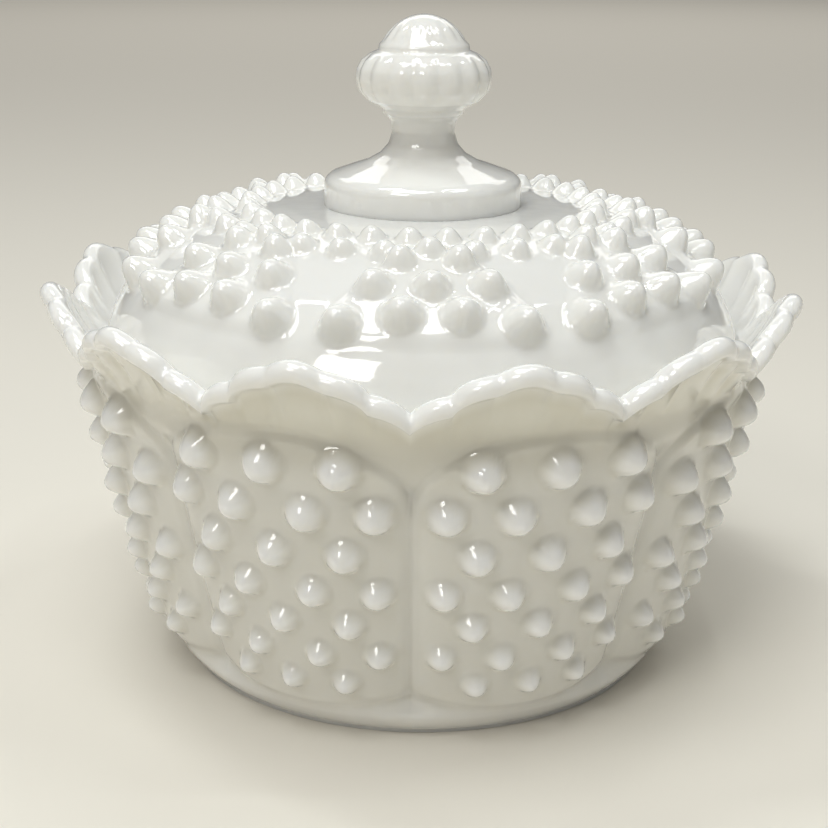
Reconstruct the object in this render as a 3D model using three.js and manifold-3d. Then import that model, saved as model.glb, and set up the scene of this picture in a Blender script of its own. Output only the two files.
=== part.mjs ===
// Pressed milk-glass hobnail jar with a lift-off domed lid.
// Millimetres, +Z up, origin at the centre of the ring that the foot rests on.
// Azimuths are in degrees from -Y towards +X.
import * as THREE from 'three';
import { mergeVertices } from 'three/addons/utils/BufferGeometryUtils.js';
import Module from 'manifold-3d';

// Driving dimensions
const SIDES = 72;                  // facets round the bowl and the dome
const PANELS = 8;                  // hobnail panels round the bowl, and clusters round the lid
const PETALS = 12;                 // petals of the flared rim

const FOOT_RADIUS = 53.1;
const FOOT_RING_INNER = 45;
const FOOT_RECESS = 2;
const FLOOR_HEIGHT = 6.5;

const PANEL_TOP = 70.6;
const PANEL_ARCH = 9.8;            // how far a panel's top falls from its middle to its sides
const PANEL_RISE = 1.5;            // how far a panel stands proud of the neck above it
const PANEL_CROWN = 3.6;           // how far the panel sides fall back from its middle

const WALL_STATIONS = [8, 17.5, 24.6, 32.2, 40, 49, 58.2, 63.2, 67.8];
const FLARE_START = 67.8;
const NECK = { radius: 70.8, height: 60 };
const PETAL_TIP = { radius: 83, height: 86.3 };
const PETAL_VALLEY = { radius: 78.7, height: 76.1 };
const RIM_THICKNESS = 4.2;

const SEAT_HEIGHT = 71.2;
const SEAT_OUTER = 71;
const MOUTH_RADIUS = 66;

const LID_RADIUS = 69.6;
const LID_BOTTOM = SEAT_HEIGHT + 0.35;
const COLLAR = { outer: 64.6, inner: 61.4, height: 67.6 };
const DOME_INNER_TOP = 95.4;
const LID_TURN = 3.2;              // how far the lid is turned round on its seat, in degrees

const KNOB_SIDES = 64;
const KNOB_FLUTES = 16;
const FLUTE_DEPTH = 0.6;
const FLANGE_RADIUS = 21.6;
const FINIAL = { radius: 9.8, centre: 131.15 };

const HOB_SIDES = 6;
const HOB_DROOP = 15;              // how far the bowl's hobs point below level, in degrees
const HOB_SINK = 1.2;              // how deep a hob's root goes into the wall

// Rows of hobs on the bowl, from the top: height of the tips, base radius, length, offsets in a panel
const THREE_ACROSS = [-11.85, 0, 11.85];
const FOUR_ACROSS = [-17, -6.1, 6.1, 17];
const BOWL_ROWS = [
  { height: 62.1, base: 4.5, length: 4.4, offsets: THREE_ACROSS },
  { height: 52.5, base: 4.25, length: 4.2, offsets: FOUR_ACROSS },
  { height: 43.5, base: 4, length: 4, offsets: THREE_ACROSS },
  { height: 35, base: 3.7, length: 3.7, offsets: FOUR_ACROSS },
  { height: 27.6, base: 3.45, length: 3.5, offsets: THREE_ACROSS },
  { height: 20.2, base: 3.25, length: 3.2, offsets: FOUR_ACROSS },
  { height: 13.5, base: 3, length: 2.9, offsets: [-10.4, 0, 10.4] },
];

// Outside of the dome above its straight lower edge, as radius and height
const DOME_LINE = [
  [67.8, 79.2], [64.4, 85.4], [61.9, 88], [58.4, 91.3], [54.4, 94], [48, 97.3], [42, 99.1], [36, 100.1],
  [30, 100.5], [0, 100.6],
];

// Rows of hobs on the lid, from the outermost in: foot of the hob on the dome, base radius, reach
// outwards and upwards, and offsets in a cluster. The two inner rows run all the way round.
const LID_ROWS = [
  { radius: 62.5, height: 87.9, base: 4.1, out: 3.7, up: 3.5, offsets: [-16.1, 16.1] },
  { radius: 61.4, height: 88.9, base: 4.1, out: 3.7, up: 3.5, offsets: [-5.4, 5.4] },
  { radius: 54.7, height: 94.1, base: 3.8, out: 2.6, up: 3.4, offsets: [-11.6, 0, 11.6] },
  { radius: 48.1, height: 97.6, base: 3.4, out: 1.3, up: 3.2, offsets: [-6.8, 6.8] },
  { radius: 44.6, height: 98.6, base: 3.2, out: 1.2, up: 2.8, offsets: [-11.25, 0, 11.25, 22.5] },
  { radius: 37.9, height: 100, base: 3, out: 0.85, up: 2.7, offsets: [-16.9, -5.6, 5.6, 16.9] },
];

const milkGlass = new THREE.MeshStandardMaterial({ color: 0xf2f1ea, roughness: 0.12, metalness: 0 });

const { degToRad: radians, lerp, smoothstep, clamp } = THREE.MathUtils;

// ---- Turned bodies, and solids to join ---------------------------------------------------------------

// A turned body whose stations may change with azimuth. Each station gives [radius, height] at an
// azimuth. They run from the lower axis point round the outside to the upper axis point.
function turned(stations, sides) {
  const blank = stations.map(() => new THREE.Vector2(1, 0));
  const geometry = new THREE.LatheGeometry(blank, sides);
  const position = geometry.getAttribute('position');
  for (let i = 0; i <= sides; i++) {
    const azimuth = (360 * (i % sides)) / sides;
    const a = radians(azimuth);
    stations.forEach((station, j) => {
      const [radius, height] = station(azimuth);
      position.setXYZ(i * stations.length + j, radius * Math.sin(a), -radius * Math.cos(a), height);
    });
  }
  return geometry;
}

const ring = (radius, height) => () => [radius, height];
const rings = (pairs) => pairs.map(([radius, height]) => ring(radius, height));

// Azimuth measured from the middle of the panel or petal that it falls in, first middle at half a period.
function fromMiddle(azimuth, count) {
  const period = 360 / count;
  return (((azimuth % period) + period) % period) - period / 2;
}

const wasm = await Module();
wasm.setup();

function solid(geometry) {
  const bare = geometry.clone();
  bare.deleteAttribute('normal');
  bare.deleteAttribute('uv');
  const merged = mergeVertices(bare, 1e-4);
  const index = merged.getIndex().array;
  const triangles = [];
  for (let i = 0; i < index.length; i += 3) {
    const [a, b, c] = index.subarray(i, i + 3);
    if (a !== b && b !== c && c !== a) triangles.push(a, b, c);
  }
  return new wasm.Manifold(new wasm.Mesh({
    numProp: 3,
    vertProperties: new Float32Array(merged.getAttribute('position').array),
    triVerts: new Uint32Array(triangles),
  }));
}

function geometryOf(manifold) {
  const mesh = manifold.getMesh();
  const geometry = new THREE.BufferGeometry();
  geometry.setAttribute('position', new THREE.BufferAttribute(mesh.vertProperties, 3));
  geometry.setIndex(new THREE.BufferAttribute(mesh.triVerts, 1));
  return geometry;
}

// ---- Hobs --------------------------------------------------------------------------------------------

// A round-tipped stud along +Z with its foot at z = 0 and its root below.
function hobSolid(base, length) {
  return solid(turned(rings([
    [0, -HOB_SINK],
    [base * 1.15, -HOB_SINK],
    [base * 0.6, length * 0.62],
    [0, length],
  ]), HOB_SIDES));
}

// One row of hobs for every panel, with feet at a radius and height that may change with azimuth.
function hobRow({ base, offsets }, out, up, footAt, firstMiddle) {
  const stud = hobSolid(base, Math.hypot(out, up));
  const hobs = [];
  for (let panel = 0; panel < PANELS; panel++) {
    for (const offset of offsets) {
      const azimuth = firstMiddle + (panel * 360) / PANELS + offset;
      const a = radians(azimuth);
      const [radius, height] = footAt(azimuth);
      const axis = new THREE.Vector3(out * Math.sin(a), -out * Math.cos(a), up).normalize();
      const foot = new THREE.Vector3(radius * Math.sin(a), -radius * Math.cos(a), height);
      const turn = new THREE.Quaternion().setFromUnitVectors(new THREE.Vector3(0, 0, 1), axis);
      const place = new THREE.Matrix4().compose(foot, turn, new THREE.Vector3(1, 1, 1));
      hobs.push(stud.transform(place.elements));
    }
  }
  return hobs;
}

// ---- Bowl ------------------------------------------------------------------------------------------

const panelMiddleRadius = (height) => 57.65 + 0.28 * height - 0.00069 * height * height;

// Share of the way from the middle of a panel or petal to its side, 0 to 1.
const shareAcross = (azimuth, count) => Math.abs(fromMiddle(azimuth, count)) / (180 / count);

// Edge of the rim: rises from the valley between two petals to a petal's tip.
function rimEdge(azimuth) {
  const rise = 1 - shareAcross(azimuth, PETALS) ** 1.8;
  return [
    lerp(PETAL_VALLEY.radius, PETAL_TIP.radius, rise),
    lerp(PETAL_VALLEY.height, PETAL_TIP.height, rise),
  ];
}

// Radius of the outside: crowned panels, each with an arched step at its top, and the flaring neck.
function outerWall(azimuth, height) {
  const share = shareAcross(azimuth, PANELS);
  const panel = panelMiddleRadius(height) - PANEL_CROWN * share ** 2 - PANEL_RISE;
  const [edge, crest] = rimEdge(azimuth);
  const climb = clamp((height - NECK.height) / (crest - RIM_THICKNESS / 2 - NECK.height), 0, 1);
  const neck = NECK.radius + (edge - NECK.radius) * climb ** 2.2;
  const belowArch = PANEL_TOP - PANEL_ARCH * share ** 2.3 - height;
  return lerp(panel, neck, smoothstep(height, 57, 66)) + PANEL_RISE * smoothstep(belowArch, -0.4, 3.2);
}

const wallAt = (height) => (azimuth) => [outerWall(azimuth, height), height];

// Outside of the flare, a share of the way from the neck up to the edge of the rim.
function flare(share) {
  return (azimuth) => {
    const height = lerp(FLARE_START, rimEdge(azimuth)[1] - RIM_THICKNESS / 2, share);
    return [outerWall(azimuth, height), height];
  };
}

// A point of the rounded rim, inwards from its outer edge and down from its crest.
function rim(inwards, down) {
  return (azimuth) => {
    const [radius, height] = rimEdge(azimuth);
    return [radius - inwards, height - down];
  };
}

// Inside of the flare, down to the shoulder that holds the lid.
function flareInside(share) {
  return (azimuth) => {
    const [radius, height] = rimEdge(azimuth);
    return [
      lerp(radius - RIM_THICKNESS, SEAT_OUTER, share),
      lerp(height - RIM_THICKNESS / 2, SEAT_HEIGHT, share),
    ];
  };
}

const bowlBody = turned([
  ...rings([
    [0, FOOT_RECESS],
    [FOOT_RING_INNER - 2, FOOT_RECESS],
    [FOOT_RING_INNER, 0],
    [FOOT_RADIUS, 0],
    [FOOT_RADIUS + 1.8, 1.6],
    [FOOT_RADIUS + 3.8, 4.2],
  ]),
  ...WALL_STATIONS.map(wallAt),
  flare(0.4),
  flare(0.8),
  rim(0, RIM_THICKNESS / 2),
  rim(RIM_THICKNESS / 2, 0),
  flareInside(0),
  flareInside(0.55),
  ...rings([
    [SEAT_OUTER, SEAT_HEIGHT],
    [MOUTH_RADIUS, SEAT_HEIGHT],
    [61, 40],
    [55.6, 20],
    [52, FLOOR_HEIGHT + 5],
    [46, FLOOR_HEIGHT + 0.8],
    [0, FLOOR_HEIGHT],
  ]),
], SIDES);

const droop = radians(HOB_DROOP);
const bowlHobs = BOWL_ROWS.flatMap((row) => {
  const out = row.length * Math.cos(droop);
  const up = -row.length * Math.sin(droop);
  return hobRow(row, out, up, wallAt(row.height - up), 180 / PANELS);
});

const bowl = wasm.Manifold.union([solid(bowlBody), ...bowlHobs]);

// ---- Lid -------------------------------------------------------------------------------------------

const dome = turned(rings([
  [0, DOME_INNER_TOP],
  [38, DOME_INNER_TOP - 0.8],
  [48, DOME_INNER_TOP - 3.2],
  [55, DOME_INNER_TOP - 7.8],
  [59.6, DOME_INNER_TOP - 14.4],
  [COLLAR.inner, LID_BOTTOM + 3],
  [COLLAR.inner, COLLAR.height],
  [COLLAR.outer - 0.6, COLLAR.height],
  [COLLAR.outer, COLLAR.height + 0.8],
  [COLLAR.outer, LID_BOTTOM],
  [LID_RADIUS - 0.8, LID_BOTTOM],
  [LID_RADIUS, LID_BOTTOM + 0.9],
  [LID_RADIUS - 0.3, LID_BOTTOM + 2.9],
  ...DOME_LINE,
]), SIDES);

const lidHobs = LID_ROWS.flatMap((row) => hobRow(row, row.out, row.up, () => [row.radius, row.height], 0));

// Knob: flange, waisted stem, fluted bulb and a small domed finial. Its root is inside the dome.
function fluted(radius, height, depth) {
  return (azimuth) => [radius - (depth * (1 - Math.cos(radians(azimuth * KNOB_FLUTES)))) / 2, height];
}

function finialStation(degrees) {
  const t = radians(degrees);
  return ring(FINIAL.radius * Math.cos(t), FINIAL.centre + FINIAL.radius * Math.sin(t));
}

const knob = turned([
  ...rings([
    [0, 97.6],
    [FLANGE_RADIUS - 0.6, 97.6],
    [FLANGE_RADIUS, 99.5],
    [FLANGE_RADIUS, 105.2],
    [19.9, 107.3],
    [12.2, 110],
    [8.4, 112.5],
    [6.8, 116.2],
    [7.2, 119],
    [8.8, 120.6],
    [9.9, 121.8],
  ]),
  fluted(12.4, 123, FLUTE_DEPTH),
  fluted(14.7, 127.4, FLUTE_DEPTH),
  fluted(13.4, 131.4, FLUTE_DEPTH),
  ring(9.9, 133.4),
  ring(9.8, 134.6),
  ...[24, 44, 62, 78].map(finialStation),
  ring(0, FINIAL.centre + FINIAL.radius),
], KNOB_SIDES);

const lid = wasm.Manifold.union([solid(dome), solid(knob), ...lidHobs]);

// ---- The jar -----------------------------------------------------------------------------------------

const group = new THREE.Group();

const jarBowl = new THREE.Mesh(geometryOf(bowl), milkGlass.clone());
jarBowl.name = 'jar_bowl';
group.add(jarBowl);

const jarLid = new THREE.Mesh(geometryOf(lid), milkGlass.clone());
jarLid.name = 'jar_lid';
jarLid.rotation.z = radians(LID_TURN);
group.add(jarLid);

export default group;
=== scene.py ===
"""Covered milk-glass jar: bowl and lid as fine meshes, opal glass material, studio stage. Metres, +Z up.

Shapes are worked out in millimetres and azimuths in degrees from -Y towards +X, as in the CAD model.
"""

import math

import bpy
import numpy as np
from mathutils import Matrix, Vector


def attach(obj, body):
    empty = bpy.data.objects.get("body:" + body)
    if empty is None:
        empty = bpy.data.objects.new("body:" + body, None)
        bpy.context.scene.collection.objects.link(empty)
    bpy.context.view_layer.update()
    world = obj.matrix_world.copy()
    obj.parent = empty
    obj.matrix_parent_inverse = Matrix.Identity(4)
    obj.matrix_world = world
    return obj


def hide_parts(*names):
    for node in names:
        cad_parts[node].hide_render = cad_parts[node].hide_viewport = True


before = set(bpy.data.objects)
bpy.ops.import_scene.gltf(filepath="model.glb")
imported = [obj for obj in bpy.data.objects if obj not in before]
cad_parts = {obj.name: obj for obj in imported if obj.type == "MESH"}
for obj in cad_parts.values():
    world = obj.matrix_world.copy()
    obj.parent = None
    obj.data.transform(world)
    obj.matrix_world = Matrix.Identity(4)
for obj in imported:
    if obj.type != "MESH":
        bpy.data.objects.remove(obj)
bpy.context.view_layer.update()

MM = 0.001
PANELS = 8
PETALS = 12
HALF_PANEL = 180 / PANELS
HALF_PETAL = 180 / PETALS

# How pale the glass is painted, from 0 for dark yellowish painted shade to 1 for white painted light: painted
# shade on the neck under the rim and on the wall between the hobs, with the lid painted lighter than the
# bowl's wall
NECK_PAINTED_LIGHTNESS = 0.0
WALL_PAINTED_LIGHTNESS = 0.4
INSIDE_PAINTED_LIGHTNESS = 0.8
LID_PAINTED_LIGHTNESS = 0.72

# ---- Small helpers ---------------------------------------------------------------------------------


def folded(azimuth, count, first):
    """Azimuth from the middle of the repeat that it falls in; `first` is the middle of one repeat."""
    period = 360 / count
    return (azimuth - first + period / 2) % period - period / 2


def smooth(low, high, x):
    t = np.clip((x - low) / (high - low), 0, 1)
    return t * t * (3 - 2 * t)


def soft_min(sharpness, *values):
    return -np.log(sum(np.exp(-sharpness * v) for v in values)) / sharpness


def lerp(a, b, t):
    return a + (b - a) * t


def rounded(points, spacing, softness):
    """A polyline in (radius, height), sampled evenly and with its corners softened, ends kept."""
    p = np.array(points, float)
    run = np.concatenate([[0], np.cumsum(np.hypot(*np.diff(p, axis=0).T))])
    count = max(int(run[-1] / spacing), 4)
    along = np.linspace(0, run[-1], count + 1)
    line = np.stack([np.interp(along, run, p[:, k]) for k in (0, 1)], 1)
    for _ in range(int((softness / spacing) ** 2)):
        line[1:-1] = (line[:-2] + 2 * line[1:-1] + line[2:]) / 4
    return line


def ring_rows(line, columns):
    """Rows of a plain turned surface: radius and height arrays of shape (rows, columns)."""
    return np.repeat(line[:, :1], columns, 1), np.repeat(line[:, 1:], columns, 1)


def closed_shell(radius, height, azimuth, shift=0, painted_lightness=LID_PAINTED_LIGHTNESS):
    """Points, faces and painted light and shade of a closed skin, from rows of radius and height that start
    and end on the axis."""
    a = np.radians(azimuth)[None, :]
    xyz = np.stack([radius * np.sin(a), -radius * np.cos(a), height], -1) + shift
    rows, columns = radius.shape
    inner = xyz[1:-1].reshape(-1, 3)
    pale = np.broadcast_to(painted_lightness, radius.shape)
    pale = np.concatenate([pale[1:-1].ravel(), pale[0, :1], pale[-1, :1]])
    points = np.concatenate([inner, xyz[0, :1], xyz[-1, :1]])
    first, last = len(inner), len(inner) + 1
    i = np.arange(columns)
    k = (i + 1) % columns
    j = np.arange(rows - 3)[:, None] * columns
    quads = np.stack([j + i, j + k, j + columns + k, j + columns + i], -1).reshape(-1, 4)
    top = (rows - 3) * columns
    cap_low = np.stack([np.full(columns, first), k, i], -1)
    cap_high = np.stack([np.full(columns, last), top + i, top + k], -1)
    return points, quads.tolist() + cap_low.tolist() + cap_high.tolist(), pale


def glass_body(name, *shells):
    """One smooth-shaded object from one or more closed shells."""
    points, faces, pale, start = [], [], [], 0
    for shell_points, shell_faces, shell_pale in shells:
        points += (shell_points * MM).tolist()
        faces += [[start + v for v in face] for face in shell_faces]
        pale += shell_pale.tolist()
        start = len(points)
    mesh = bpy.data.meshes.new(name)
    mesh.from_pydata(points, [], faces)
    mesh.polygons.foreach_set("use_smooth", [True] * len(mesh.polygons))
    # the painted light and shade of each point goes to the material as a point attribute
    mesh.attributes.new("painted_lightness", "FLOAT", "POINT").data.foreach_set("value", pale)
    mesh.update()
    body = bpy.data.objects.new(name, mesh)
    bpy.context.scene.collection.objects.link(body)
    return body


# Shape of a hob: power, 1 for a straight cone and 2 for a paraboloid, and bluntness of the tip
BOWL_HOB = (1.85, 0.32)
LID_HOB = (2.1, 0.45)
HOB_FILLET = 0.11           # softness of the corner at a hob's foot
HOB_EDGE = 1.35             # share of the base radius where the fillet ends
HOB_ROWS = 11               # rows of the wall's grid that a hob can reach, up and down
BEYOND = 9                  # a share of the base radius that is far outside a hob


def hob_profile(x, shape):
    """Height of a hob, 1 at its tip, at a share x of its base radius."""
    power, blunt = shape
    tip = blunt**power
    bare = 1 - ((x * x + blunt**2) ** (power / 2) - tip) / ((1 + blunt**2) ** (power / 2) - tip)
    return 0.5 * (bare + np.sqrt(bare * bare + HOB_FILLET**2))


class Studded:
    """A surface grid that hobs are raised on. `order` grows from row to row and tells where hobs go."""

    def __init__(self, radius, height, azimuth, order, hob_shape):
        a = np.radians(azimuth)[None, :]
        self.wall = np.stack([radius * np.sin(a), -radius * np.cos(a), height], -1)
        self.azimuth = azimuth
        self.order = order
        self.hob_shape = hob_shape
        self.size = np.zeros(radius.shape)
        self.shift = np.zeros(radius.shape + (3,))

    def centre(self, azimuth, level):
        """The bare surface's point and fractional row at an azimuth and a level of `order`."""
        step = azimuth % 360 / (360 / len(self.azimuth))
        low = int(step)
        high = (low + 1) % len(self.azimuth)
        row = np.interp(level, self.order[:, low], np.arange(len(self.order)))
        k = int(row)
        across = lerp(self.wall[:, low], self.wall[:, high], step - low)
        return lerp(across[k], across[k + 1], row - k), k

    def raise_hob(self, azimuth, level, base, out, up):
        """Push the surface along (out, up), most at the hob's centre; the tallest hob wins at each point."""
        centre, row = self.centre(azimuth, level)
        a = math.radians(azimuth)
        push = np.array([out * math.sin(a), -out * math.cos(a), up])
        axis = push / np.linalg.norm(push)
        rows = slice(max(row - HOB_ROWS, 0), row + HOB_ROWS + 1)
        arm = self.wall[rows] - centre
        along = arm @ axis
        across = np.sqrt(np.maximum((arm**2).sum(-1) - along**2, 0))
        share = np.where(np.linalg.norm(arm, axis=-1) < 2 * base, across / base, BEYOND)
        field = hob_profile(share, self.hob_shape) * (share < HOB_EDGE)
        size = field * math.hypot(out, up)
        taller = size > self.size[rows]
        self.shift[rows][taller] = (field[..., None] * push)[taller]
        self.size[rows] = np.maximum(self.size[rows], size)


# ---- Bowl ------------------------------------------------------------------------------------------

BOWL_COLUMNS = 600
FOOT_RADIUS = 53.1
FOOT_RING_INNER = 45
FOOT_TOP = 5.5
FOOT_SWELL = 4.6            # how far the foot widens from the ring up to its top
FOOT_SLOPE = 0.2
FOOT_RECESS = 2
NECK_START = 60
NECK_RADIUS = 70.8
NECK_SLOPE = 0.02
FLARE_POWER = 2.2           # how late the neck flares out towards the rim
FLARE_SETBACK = 1.0         # how far the flare ends inside the rim's edge
FLUTE_DEPTH = 1.3           # of the flutes under the scallops of the rim
FLUTE_LEVEL = 0.8           # scallop bulge at which a flute neither swells nor sinks
PANEL_MIDDLE = (57.65, 0.28, -0.00069)  # radius of a panel's middle: at the ground, slope and curve
PANEL_RISE = 1.5
PANEL_CROWN = 2.9           # how far a panel's sides fall back from its middle
PANEL_TOP = 70.6
PANEL_TOP_ARCH = 9.8        # how far a panel's top falls from its middle to its sides
PANEL_BOTTOM = 6.0
PANEL_BOTTOM_ARCH = 3.8
PANEL_CORNER = 6            # radius of the rounded upper corners of a panel
PANEL_SIDE_RISE = 0.5       # share of the rise that is left in the groove between two panels
PANEL_RADIUS = 70           # where widths across a panel are measured
SEAMS = 4                   # mould seams, where a petal valley stands over a panel groove
SEAM_RISE = 0.16
SEAM_WIDTH = 0.55
SEAT_HEIGHT = 71.2
SEAT_OUTER = 71.4
MOUTH_RADIUS = 66
FLOOR_HEIGHT = 6.5
BEAD = 2.2                  # radius of the rounded rim
BEAD_START = math.radians(42)           # below level on the outside
BEAD_END = math.radians(152)            # over the crest on the inside
EDGE_RADIUS = 83            # over the petal tips
VALLEY_RADIUS = 78.7
CREASE_DEPTH = 0.8          # of the creases between scallops
HOB_DROOP = 15              # how far the bowl's hobs point below level, in degrees

# Crest height of the rim: at a petal's tip, at its two scallop corners and in the valley, with the
# azimuths of those corners from the tip.
CREST_TIP = 86.2
CREST_CORNERS = (84.2, 80.0, 76.0)
CORNER_AZIMUTHS = (3.75, 9.4, HALF_PETAL)
SCALLOP_STEEPNESS = (0.6, 0.85)

# Rows of hobs from the top: height of the tips, base radius, length, offsets in a panel
ROW_A = (-11.85, 0, 11.85)
ROW_B = (-17.0, -6.1, 6.1, 17.0)
BOWL_ROWS = (
    (62.1, 4.5, 4.4, ROW_A),
    (52.5, 4.25, 4.2, ROW_B),
    (43.5, 4.0, 4.0, ROW_A),
    (35.0, 3.7, 3.7, ROW_B),
    (27.6, 3.45, 3.5, ROW_A),
    (20.2, 3.25, 3.2, ROW_B),
    (13.5, 3.0, 2.9, (-10.4, 0, 10.4)),
)


def panel_middle_radius(height):
    radius, slope, curve = PANEL_MIDDLE
    return radius + slope * height + curve * height**2


def crest_height(azimuth):
    """Height of the rim's crest: an arch at a petal's tip and two falling scallops on each side of it."""
    u = np.abs(folded(azimuth, PETALS, HALF_PETAL))
    tip = lerp(CREST_CORNERS[0], CREST_TIP, 1 - np.clip(u / CORNER_AZIMUTHS[0], 0, 1) ** 2)
    height = tip
    for k, steepness in enumerate(SCALLOP_STEEPNESS):
        s = np.clip((u - CORNER_AZIMUTHS[k]) / (CORNER_AZIMUTHS[k + 1] - CORNER_AZIMUTHS[k]), 0, 1)
        scallop = lerp(CREST_CORNERS[k + 1], CREST_CORNERS[k], (1 - s**2) ** steepness)
        height = np.where(u > CORNER_AZIMUTHS[k], scallop, height)
    return height


def scallop_bulge(azimuth):
    """1 along the middle of each scallop, falling to 0 in the creases between scallops."""
    u = np.abs(folded(azimuth, PETALS, HALF_PETAL))
    starts = (-CORNER_AZIMUTHS[0],) + CORNER_AZIMUTHS[:2]
    across = np.zeros_like(u)
    for low, high in zip(starts, CORNER_AZIMUTHS):
        inside = (u >= low) & (u <= high)
        across = np.where(inside, np.abs(2 * (u - low) / (high - low) - 1), across)
    return np.sqrt(np.clip(1 - 0.97 * across**2, 0, 1))


def edge_radius(azimuth):
    """Radius of the rim's outer edge."""
    rise = (crest_height(azimuth) - CREST_CORNERS[2]) / (CREST_TIP - CREST_CORNERS[2])
    return lerp(VALLEY_RADIUS, EDGE_RADIUS, rise) - CREASE_DEPTH * (1 - scallop_bulge(azimuth))


def panel_rise(offset, height):
    """How far a panel stands proud of the ground between the panels, less at its sides than its ends."""
    share = np.abs(offset) / HALF_PANEL
    side = (HALF_PANEL - np.abs(offset)) * math.radians(1) * PANEL_RADIUS
    corner = np.clip(1 - side / PANEL_CORNER, 0, 1)
    top = PANEL_TOP - PANEL_TOP_ARCH * share**2.3 - PANEL_CORNER * (1 - np.sqrt(1 - corner**2))
    bottom = PANEL_BOTTOM + PANEL_BOTTOM_ARCH * share**2.5
    ends = smooth(-0.4, 3.2, soft_min(1.6, top - height, height - bottom))
    return PANEL_RISE * ends * lerp(PANEL_SIDE_RISE, 1, smooth(-0.6, 3.2, side))


def mould_seam(azimuth, height):
    off = folded(azimuth, SEAMS, 0) * math.radians(1) * NECK_RADIUS
    return SEAM_RISE * np.exp(-((off / SEAM_WIDTH) ** 2)) * smooth(56, 62, height)


def outer_wall(azimuth, height, crest, edge):
    """Radius of the outside of the bowl without hobs, from the foot to the rim."""
    offset = folded(azimuth, PANELS, HALF_PANEL)
    share = np.abs(offset) / HALF_PANEL
    ground = panel_middle_radius(height) - PANEL_CROWN * share**2 - PANEL_RISE
    swell = FOOT_SWELL * np.sqrt(np.clip(height / FOOT_TOP, 0, 1))
    foot = FOOT_RADIUS + swell + FOOT_SLOPE * (height - FOOT_TOP)
    ground = lerp(foot, ground, smooth(3.5, 9.5, height))
    climb = np.clip((height - NECK_START) / (crest - BEAD - NECK_START), 0, 1)
    widening = (edge - FLARE_SETBACK - NECK_RADIUS) * climb**FLARE_POWER
    neck = NECK_RADIUS + NECK_SLOPE * (height - NECK_START) + widening
    ground = lerp(ground, neck, smooth(57, 66, height))
    flute = FLUTE_DEPTH * (scallop_bulge(azimuth) - FLUTE_LEVEL) * smooth(0.35, 1.0, climb)
    return ground + panel_rise(offset, height) + flute + mould_seam(azimuth, height)


def bowl_outside(azimuth):
    """Outside of the bowl: rows of radius and height from the foot to under the rounded rim."""
    crest = crest_height(azimuth)
    steady = np.concatenate([np.linspace(0.6, 8, 9), np.linspace(8, 61, 75)[1:]])
    top = crest - BEAD * (1 + math.sin(BEAD_START))
    share = np.linspace(0, 1, 31)[1:-1, None]
    level = np.repeat(steady[:, None], len(azimuth), 1)
    height = np.concatenate([level, lerp(steady[-1], top[None, :], share)])
    radius = outer_wall(azimuth[None, :], height, crest[None, :], edge_radius(azimuth)[None, :])
    return radius, height


def bead_rows(azimuth):
    """The rounded rim, from its underside over the crest to its inner side."""
    angle = np.linspace(-BEAD_START, BEAD_END, 13)[:, None]
    centre_radius = (edge_radius(azimuth) - BEAD)[None, :]
    centre_height = (crest_height(azimuth) - BEAD)[None, :]
    return centre_radius + BEAD * np.cos(angle), centre_height + BEAD * np.sin(angle)


def inside_flare(start_radius, start_height):
    """From the inner side of the rim down to the shoulder that holds the lid."""
    share = np.linspace(0, 1, 10)[1:, None]
    radius = lerp(start_radius[None, :], SEAT_OUTER, share - 0.35 * share * (1 - share))
    return radius, lerp(start_height[None, :], SEAT_HEIGHT + 0.4, share)


def bowl_hobs(radius, height, azimuth):
    """Displacement of the wall points by the hobs."""
    surface = Studded(radius, height, azimuth, height, BOWL_HOB)
    droop = math.radians(HOB_DROOP)
    for tip_height, base, length, offsets in BOWL_ROWS:
        out, up = length * math.cos(droop), -length * math.sin(droop)
        for panel in range(PANELS):
            for offset in offsets:
                centre = HALF_PANEL + 2 * HALF_PANEL * panel + offset
                surface.raise_hob(centre, tip_height - up, base, out, up)
    return surface.shift


def bowl_painted_lightness(height, crest, shift):
    """Painted light and shade on the outside: painted shade under the rim and on the wall between the hobs,
    painted light on the tips of the hobs, and pale at the foot and the rim.
    """
    wall = lerp(INSIDE_PAINTED_LIGHTNESS, WALL_PAINTED_LIGHTNESS, smooth(2, 12, height))
    wall = lerp(wall, NECK_PAINTED_LIGHTNESS, smooth(58, 68, height))
    wall = lerp(wall, INSIDE_PAINTED_LIGHTNESS, smooth(-8, -2, height - crest))
    # painted light: the hobs are painted paler the further they stand out from the wall
    tips = smooth(0.3, 3, np.linalg.norm(shift, axis=-1))
    return lerp(wall, 1, tips)


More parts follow.
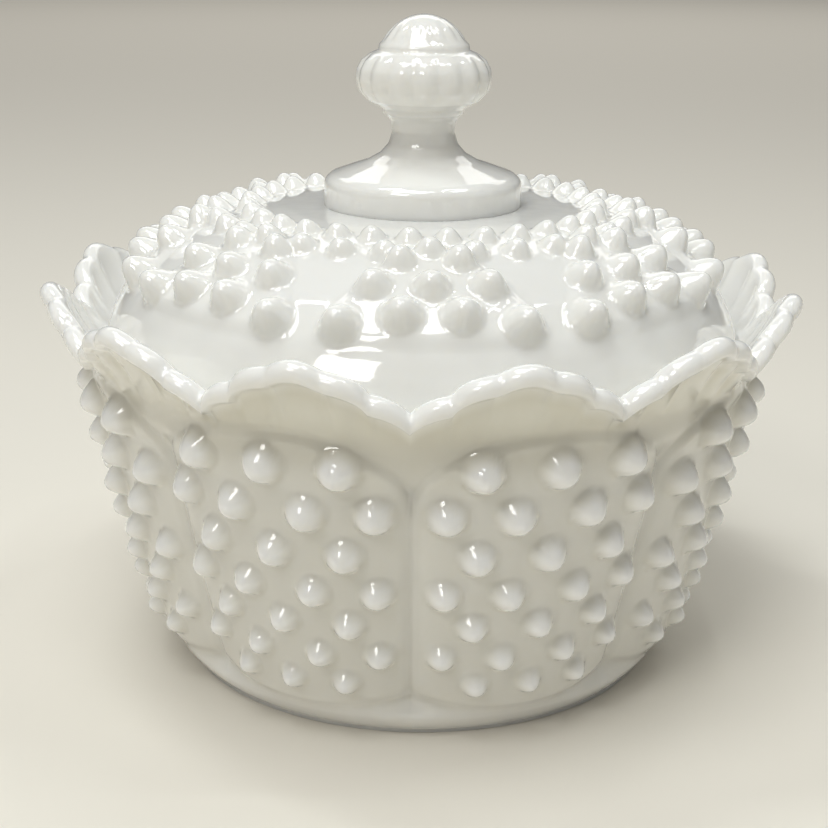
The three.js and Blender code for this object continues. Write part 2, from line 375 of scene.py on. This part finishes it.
def bowl_shell():
    """The whole bowl, from the middle of its underside round the rim to the middle of its floor."""
    azimuth = np.arange(BOWL_COLUMNS) * 360 / BOWL_COLUMNS
    foot_line = np.array([
        (0, FOOT_RECESS), (38, FOOT_RECESS), (FOOT_RING_INNER - 2, 1.6), (FOOT_RING_INNER - 0.6, 0.4),
        (FOOT_RING_INNER + 0.6, 0), (FOOT_RADIUS - 0.6, 0), (FOOT_RADIUS + 0.9, 0.15),
    ])
    outside = bowl_outside(azimuth)
    bead = bead_rows(azimuth)
    inner_line = rounded([
        (SEAT_OUTER - 0.5, SEAT_HEIGHT), (MOUTH_RADIUS + 0.6, SEAT_HEIGHT), (MOUTH_RADIUS, SEAT_HEIGHT - 0.8),
        (65, 60), (61, 40), (56, 20), (52.6, 11.5), (46, 7.2),
        (30, FLOOR_HEIGHT), (0, FLOOR_HEIGHT),
    ], 3.4, 3.4)
    parts = [
        ring_rows(foot_line, BOWL_COLUMNS), outside, bead, inside_flare(bead[0][-1], bead[1][-1]),
        ring_rows(inner_line, BOWL_COLUMNS),
    ]
    radius = np.concatenate([p[0] for p in parts])
    height = np.concatenate([p[1] for p in parts])
    shift = np.zeros(radius.shape + (3,))
    first = len(foot_line)
    walls = slice(first, first + len(outside[0]))
    shift[walls] = bowl_hobs(*outside, azimuth)
    # painted light and shade: pale inside, the outer wall painted in shade and light point by point
    painted_lightness = np.full(radius.shape, INSIDE_PAINTED_LIGHTNESS)
    painted_lightness[walls] = bowl_painted_lightness(outside[1], crest_height(azimuth), shift[walls])
    return closed_shell(radius, height, azimuth, shift, painted_lightness)


# ---- Lid -------------------------------------------------------------------------------------------

LID_COLUMNS = 640
LID_TURN = 3.2
LID_BOTTOM = SEAT_HEIGHT + 0.35
LID_LINE = [
    (69.6, 72.6), (69.4, 75.0), (67.9, 79.0), (66.0, 82.6), (64.1, 85.3), (61.7, 87.5), (58.2, 90.8),
    (54.5, 93.2), (49.2, 96.4), (44.9, 98.2), (38.2, 99.8), (30, 100.4), (22.2, 100.5),
]
LID_CROWN = 100.55

# Rows of hobs from the outermost in: wall radius, base radius, reach out and up, offsets in a cluster
LID_ROWS = (
    (61.5, 4.2, 3.3, 3.2, (-16.1, 16.1)),
    (59.6, 4.2, 3.3, 3.2, (-5.4, 5.4)),
    (54.0, 3.9, 2.4, 3.1, (-11.6, 0, 11.6)),
    (47.8, 3.4, 1.3, 3.2, (-6.8, 6.8)),
    (44.4, 3.2, 1.2, 2.8, (-11.25, 0, 11.25, 22.5)),
    (37.8, 3.0, 0.85, 2.7, (-16.9, -5.6, 5.6, 16.9)),
)

# Arched lobes of the dome, one under each cluster of hobs
LOBE_RISE = 0.95
LOBE_BOTTOM = 84.8
LOBE_INNER_RADIUS = 41
LOBE_HALF_WIDTHS = (6.5, 20.8)          # in degrees, at its inner end and at its widest

KNOB_FLUTES = 16
KNOB_COLUMNS = 12 * KNOB_FLUTES
KNOB_FLUTE_DEPTH = 0.6
DOME_FLUTE_DEPTH = 0.25                 # on the small dome on top of the knob
KNOB_DOME_RADIUS = 9.8
KNOB_DOME_CENTRE = 131.15


def lid_lobe(offset, radius, height):
    """How far a lobe stands proud of the dome."""
    half_width = lerp(*LOBE_HALF_WIDTHS, np.clip((radius - LOBE_INNER_RADIUS - 1) / 20, 0, 1) ** 0.85)
    side = (half_width - np.abs(offset)) * np.radians(radius)
    depth = soft_min(0.9, side, (height - LOBE_BOTTOM) * 1.3, radius - LOBE_INNER_RADIUS)
    return LOBE_RISE * smooth(-0.6, 2.8, depth)


def lid_outside(line, azimuth):
    """Outside of the dome with its lobes but without hobs."""
    radius, height = ring_rows(line, len(azimuth))
    along = np.gradient(line, axis=0)
    normal = np.stack([along[:, 1], -along[:, 0]], 1)
    normal /= np.linalg.norm(normal, axis=1)[:, None]
    rise = lid_lobe(folded(azimuth, PANELS, 0)[None, :], radius, height)
    return radius + normal[:, :1] * rise, height + normal[:, 1:] * rise


def lid_hobs(radius, height, azimuth, bare_radius):
    """Displacement of the dome's points by the hobs. Rows of hobs are placed by the bare dome's radius."""
    surface = Studded(radius, height, azimuth, -bare_radius, LID_HOB)
    for row_radius, base, out, up, offsets in LID_ROWS:
        for cluster in range(PANELS):
            for offset in offsets:
                surface.raise_hob(2 * HALF_PANEL * cluster + offset, -row_radius, base, out, up)
    return surface.shift


def turned_with_lid(shift):
    """Displacements turned round +Z by the lid's own turn."""
    t = math.radians(LID_TURN)
    turn = np.array([[math.cos(t), -math.sin(t), 0], [math.sin(t), math.cos(t), 0], [0, 0, 1]])
    return shift @ turn.T


def dome_shell():
    """The lid without its knob, from the middle of its hollow round the collar to its crown."""
    azimuth = np.arange(LID_COLUMNS) * 360 / LID_COLUMNS
    under = rounded([
        (0, 95.4), (38, 94.6), (48, 92.2), (55, 87.6), (59.6, 81), (61.4, 75), (61.4, 68.2),
        (62.2, 67.6), (63.8, 67.6), (64.6, 68.4), (64.6, LID_BOTTOM - 0.2),
    ], 3.2, 1.6)
    foot = np.array([(65.2, LID_BOTTOM), (68.6, LID_BOTTOM), (69.3, LID_BOTTOM + 0.3)])
    line = rounded(LID_LINE, 0.68, 1.1)
    outside = lid_outside(line, azimuth)
    crown = np.array([(10, LID_CROWN), (0, LID_CROWN)])
    parts = [
        ring_rows(under, LID_COLUMNS), ring_rows(foot, LID_COLUMNS), outside, ring_rows(crown, LID_COLUMNS),
    ]
    radius = np.concatenate([p[0] for p in parts])
    height = np.concatenate([p[1] for p in parts])
    shift = np.zeros(radius.shape + (3,))
    first = len(under) + len(foot)
    bare_radius = np.repeat(line[:, :1], LID_COLUMNS, 1)
    shift[first:first + len(line)] = lid_hobs(*outside, azimuth, bare_radius)
    return closed_shell(radius, height, azimuth + LID_TURN, turned_with_lid(shift))


def knob_line():
    """Knob from inside the dome's glass up to its top: flange, stem, bulb, and a small domed finial."""
    line = [
        (0, 97.6), (20.6, 97.6), (21.4, 98.6), (21.6, 101), (21.6, 105.2), (21.2, 106.3), (19.9, 107.3),
        (16, 108.7), (12.2, 110.0), (9.4, 111.6), (7.6, 113.6), (6.8, 116.2), (7.0, 118.4), (8.0, 119.8),
        (8.7, 120.2), (8.8, 121.2), (9.9, 121.8), (12.3, 123.0), (14.1, 125.0), (14.7, 127.4),
        (14.4, 129.6), (13.4, 131.4), (11.6, 132.8), (9.8, 133.5), (9.7, 134.6), (9.0, 135.3),
    ]
    for degrees in range(30, 91, 8):
        t = math.radians(degrees)
        line.append((KNOB_DOME_RADIUS * math.cos(t), KNOB_DOME_CENTRE + KNOB_DOME_RADIUS * math.sin(t)))
    return rounded(line + [(0, KNOB_DOME_CENTRE + KNOB_DOME_RADIUS)], 0.6, 0.5)


def knob_shell():
    azimuth = np.arange(KNOB_COLUMNS) * 360 / KNOB_COLUMNS
    radius, height = ring_rows(knob_line(), KNOB_COLUMNS)
    wave = np.abs(np.cos(np.radians(azimuth * KNOB_FLUTES / 2)))[None, :] ** 1.4
    bulb = smooth(121.8, 125, height) * (1 - smooth(131, 133.6, height))
    dome = smooth(135, 136.5, height) * (1 - smooth(137.5, 141, height))
    flute = (1 - wave) * (KNOB_FLUTE_DEPTH * bulb + DOME_FLUTE_DEPTH * dome)
    return closed_shell(radius - flute, height, azimuth + LID_TURN)


# ---- Material --------------------------------------------------------------------------------------


def milk_glass(name, warm, pale):
    """Opal glass: a deep white body under a fire-polished skin, with faint streaks and a soft ripple."""
    material = bpy.data.materials.new(name)
    material.use_nodes = True
    nodes = material.node_tree.nodes
    links = material.node_tree.links
    shader = nodes["Principled BSDF"]
    place = nodes.new("ShaderNodeTexCoord")

    streaks = nodes.new("ShaderNodeTexNoise")
    streaks.inputs["Scale"].default_value = 22
    streaks.inputs["Detail"].default_value = 4
    streaks.inputs["Distortion"].default_value = 1.2
    links.new(place.outputs["Object"], streaks.inputs["Vector"])
    streak_depth = nodes.new("ShaderNodeMapRange")
    streak_depth.inputs["From Min"].default_value = 0.3
    streak_depth.inputs["From Max"].default_value = 0.7
    streak_depth.inputs["To Min"].default_value = -0.12
    streak_depth.inputs["To Max"].default_value = 0
    links.new(streaks.outputs["Fac"], streak_depth.inputs["Value"])
    # The base colour runs from the warm colour in painted shade to the pale colour in painted light, with
    # faint random streaks.
    painted_lightness = nodes.new("ShaderNodeAttribute")
    painted_lightness.attribute_name = "painted_lightness"
    total = nodes.new("ShaderNodeMath")
    links.new(painted_lightness.outputs["Fac"], total.inputs[0])
    links.new(streak_depth.outputs["Result"], total.inputs[1])
    ramp = nodes.new("ShaderNodeValToRGB")
    ramp.color_ramp.elements[0].color = (*warm, 1)
    ramp.color_ramp.elements[1].color = (*pale, 1)
    links.new(total.outputs["Value"], ramp.inputs["Fac"])
    links.new(ramp.outputs["Color"], shader.inputs["Base Color"])

    skin = nodes.new("ShaderNodeTexNoise")
    skin.inputs["Scale"].default_value = 60
    skin.inputs["Detail"].default_value = 3
    links.new(place.outputs["Object"], skin.inputs["Vector"])
    gloss = nodes.new("ShaderNodeMapRange")
    gloss.inputs["To Min"].default_value = 0.04
    gloss.inputs["To Max"].default_value = 0.1
    links.new(skin.outputs["Fac"], gloss.inputs["Value"])
    links.new(gloss.outputs["Result"], shader.inputs["Roughness"])

    ripple = nodes.new("ShaderNodeTexNoise")
    ripple.inputs["Scale"].default_value = 110
    ripple.inputs["Detail"].default_value = 2
    links.new(place.outputs["Object"], ripple.inputs["Vector"])
    bump = nodes.new("ShaderNodeBump")
    bump.inputs["Strength"].default_value = 0.25
    bump.inputs["Distance"].default_value = 0.0004
    links.new(ripple.outputs["Fac"], bump.inputs["Height"])
    links.new(bump.outputs["Normal"], shader.inputs["Normal"])

    shader.inputs["IOR"].default_value = 1.5
    shader.inputs["Coat Weight"].default_value = 0.8
    shader.inputs["Coat Roughness"].default_value = 0.04
    shader.inputs["Subsurface Weight"].default_value = 0.5
    shader.inputs["Subsurface Radius"].default_value = (1.0, 0.95, 0.85)
    shader.inputs["Subsurface Scale"].default_value = 0.005
    return material


# ---- Pieces ----------------------------------------------------------------------------------------

# the first colour is the glass in painted shade, the second the glass in painted light
glass = milk_glass("milk_glass", (0.68, 0.66, 0.585), (0.94, 0.94, 0.925))

bowl = glass_body("bowl_glass", bowl_shell())
bowl.data.materials.append(glass)
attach(bowl, "bowl")
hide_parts("jar_bowl")

lid = glass_body("lid_glass", dome_shell(), knob_shell())
lid.data.materials.append(glass)
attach(lid, "lid")
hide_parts("jar_lid")

# ---- Stage, lights and camera ----------------------------------------------------------------------


def plain_material(name, colour, roughness):
    material = bpy.data.materials.new(name)
    material.use_nodes = True
    shader = material.node_tree.nodes["Principled BSDF"]
    shader.inputs["Base Color"].default_value = (*colour, 1)
    shader.inputs["Roughness"].default_value = roughness
    return material


FLOOR_REACH = 8.0
FLOOR_COLOUR = (0.81, 0.775, 0.695)


def floor():
    corners = [(-1, -1, 0), (1, -1, 0), (1, 1, 0), (-1, 1, 0)]
    points = [(FLOOR_REACH * x, FLOOR_REACH * y, z) for x, y, z in corners]
    mesh = bpy.data.meshes.new("floor")
    mesh.from_pydata(points, [], [(0, 1, 2, 3)])
    mesh.materials.append(plain_material("floor_paper", FLOOR_COLOUR, 0.7))
    plane = bpy.data.objects.new("floor", mesh)
    bpy.context.scene.collection.objects.link(plane)


MIDDLE = Vector((0, 0, 0.08))           # of the jar
SKY_COLOUR = (1.0, 0.975, 0.93)
SKY_STRENGTH = 0.19


def soft_box(name, place, width, height, watts, colour, target=MIDDLE):
    """A rectangular light that faces the jar, or another target. Returns it."""
    light = bpy.data.lights.new(name, "AREA")
    light.shape = "RECTANGLE"
    light.size = width
    light.size_y = height
    light.energy = watts
    light.color = colour
    lamp = bpy.data.objects.new(name, light)
    turn = (Vector(target) - Vector(place)).to_track_quat("-Z", "Y").to_matrix().to_4x4()
    lamp.matrix_world = Matrix.Translation(place) @ turn
    bpy.context.scene.collection.objects.link(lamp)
    return lamp


def window_light(place, size, bar, watts, colour):
    """Four thin strips round a square, seen in the glass as a small bright loop."""
    for k in range(4):
        strip = soft_box(f"window_strip_{k}", place, size, bar, watts / 4, colour)
        quarter = Matrix.Rotation(math.radians(90 * k), 4, "Z")
        strip.matrix_world = strip.matrix_world @ quarter @ Matrix.Translation((0, (size - bar) / 2, 0))


def studio():
    world = bpy.data.worlds.new("studio")
    world.use_nodes = True
    background = world.node_tree.nodes["Background"]
    background.inputs["Color"].default_value = (*SKY_COLOUR, 1)
    background.inputs["Strength"].default_value = SKY_STRENGTH
    bpy.context.scene.world = world
    soft_box("key_light", (-0.25, -0.5, 1.75), 0.9, 0.9, 14.5, (0.98, 1.0, 1.0))
    soft_box("left_strip", (-0.25, 0.06, 0.84), 0.07, 0.22, 1.0, (0.95, 1.0, 1.0))
    window_light((0.27, 0.0, 0.84), 0.2, 0.02, 1.0, (0.95, 1.0, 1.0))
    soft_box("front_light", (-0.55, -1.0, 1.0), 0.5, 0.36, 4.2, (1.0, 0.99, 0.96))
    soft_box("right_fill", (1.0, -0.3, 0.3), 0.6, 0.6, 0.45, (0.92, 0.96, 1.0))
    soft_box("back_light", (0, 2.4, 1.8), 3.0, 1.6, 20, (1.0, 0.99, 0.96), (0, 2.4, 0))


CAMERA_PLACE = (0, -336.8, 159.2)       # before the turn below
CAMERA_TURN = 1.32                      # how far right of the front valley it stands, in degrees
CAMERA_PITCH = 17.68
CAMERA_YAW = -0.24
CAMERA_ROLL = 0.565
CAMERA_LENS = 66.96


def camera():
    data = bpy.data.cameras.new("camera")
    data.sensor_width = 36
    data.lens = CAMERA_LENS
    data.clip_start = 0.01
    view = bpy.data.objects.new("camera", data)
    look = (
        Matrix.Rotation(math.radians(CAMERA_TURN), 4, "Z")
        @ Matrix.Translation(Vector(CAMERA_PLACE) * MM)
        @ Matrix.Rotation(math.radians(-CAMERA_YAW), 4, "Z")
        @ Matrix.Rotation(math.radians(90 - CAMERA_PITCH), 4, "X")
        @ Matrix.Rotation(math.radians(CAMERA_ROLL), 4, "Z")
    )
    view.matrix_world = look
    bpy.context.scene.collection.objects.link(view)
    bpy.context.scene.camera = view


floor()
studio()
camera()
bpy.context.scene.view_settings.view_transform = "Standard"
